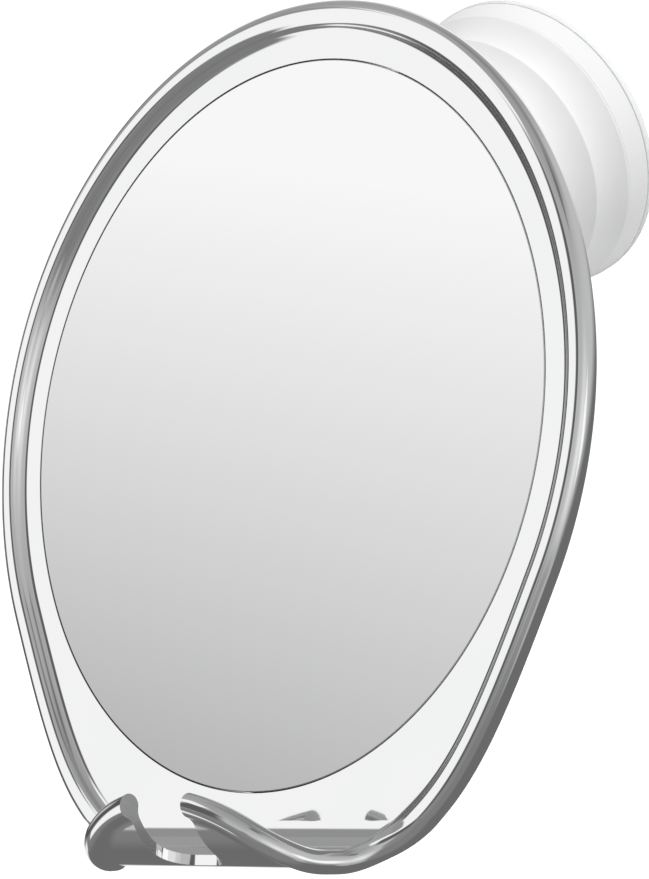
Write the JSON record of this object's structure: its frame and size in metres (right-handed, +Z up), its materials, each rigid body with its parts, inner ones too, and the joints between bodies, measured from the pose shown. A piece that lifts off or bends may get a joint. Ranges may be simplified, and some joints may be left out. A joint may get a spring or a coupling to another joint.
{
  "type": "fogless shower mirror",
  "caption": "Round fogless shower mirror in a chromed frame with a bent trough and razor hooks, on a ball joint and a twist-lock suction mount.",
  "frame": {"origin": "centre of the suction pad's wall face", "axes": "+Y into the wall, square to the pad's face; +Z up; +X to the right as seen from in front of the mirror, which looks toward -Y"},
  "size_m": [0.1746, 0.1691, 0.1475],
  "materials": {
    "chrome": "bright chrome plating on moulded plastic",
    "mirror": "silvered glass with a clear fogless coating",
    "foam": "white foam adhesive",
    "white_plastic": "white, finely textured",
    "grey_plastic": "natural grey, satin",
    "pad": "soft milky vinyl, glossy",
    "rubber": "dull black rubber",
    "steel": "stainless, bright"
  },
  "bodies": {
    "suction": {"suction_pad": "pad", "base_housing": "white_plastic", "thrust_washer": "grey_plastic", "retaining_clip": "steel", "nose_cap": "white_plastic", "ball_stud": "white_plastic"},
    "knob": {"twist_knob": "white_plastic", "cam_ring": "grey_plastic"},
    "stem": {"pull_stem": "grey_plastic", "cross_pin": "steel"},
    "tilt": {"front_liner": "grey_plastic"},
    "pan": {"rear_liner": "grey_plastic"},
    "head": {"frame": "chrome", "mirror_pane": "mirror", "mirror_tape": "foam", "preload_pad": "rubber", "socket_cap": "white_plastic", "cap_screw_1": "steel", "cap_screw_2": "steel", "cap_screw_3": "steel"}
  },
  "joints": [
    {"name": "knob_twist", "type": "hinge", "parent": "suction", "child": "knob", "pos_m": [0, -0.025, 0], "axis": [0, 1, 0], "range_deg": [0, 90]},
    {"name": "stem_pull", "type": "slide", "parent": "suction", "child": "stem", "axis": [0, -1, 0], "range_m": [0, 0.0025]},
    {"name": "ball_tilt", "type": "hinge", "parent": "suction", "child": "tilt", "pos_m": [0, -0.069, 0], "axis": [1, 0, 0], "range_deg": [-3, 69]},
    {"name": "ball_pan", "type": "hinge", "parent": "tilt", "child": "pan", "pos_m": [0, -0.069, 0], "axis": [0, 0.5446, 0.8387], "range_deg": [-25, 25]},
    {"name": "ball_spin", "type": "hinge", "parent": "pan", "child": "head", "pos_m": [0, -0.069, 0], "axis": [0, 0.8387, -0.5446], "continuous": true}
  ],
  "couplings": [
    {"joint": "stem_pull", "follows": "knob_twist", "m_per_rad": 0.0015915}
  ]
}
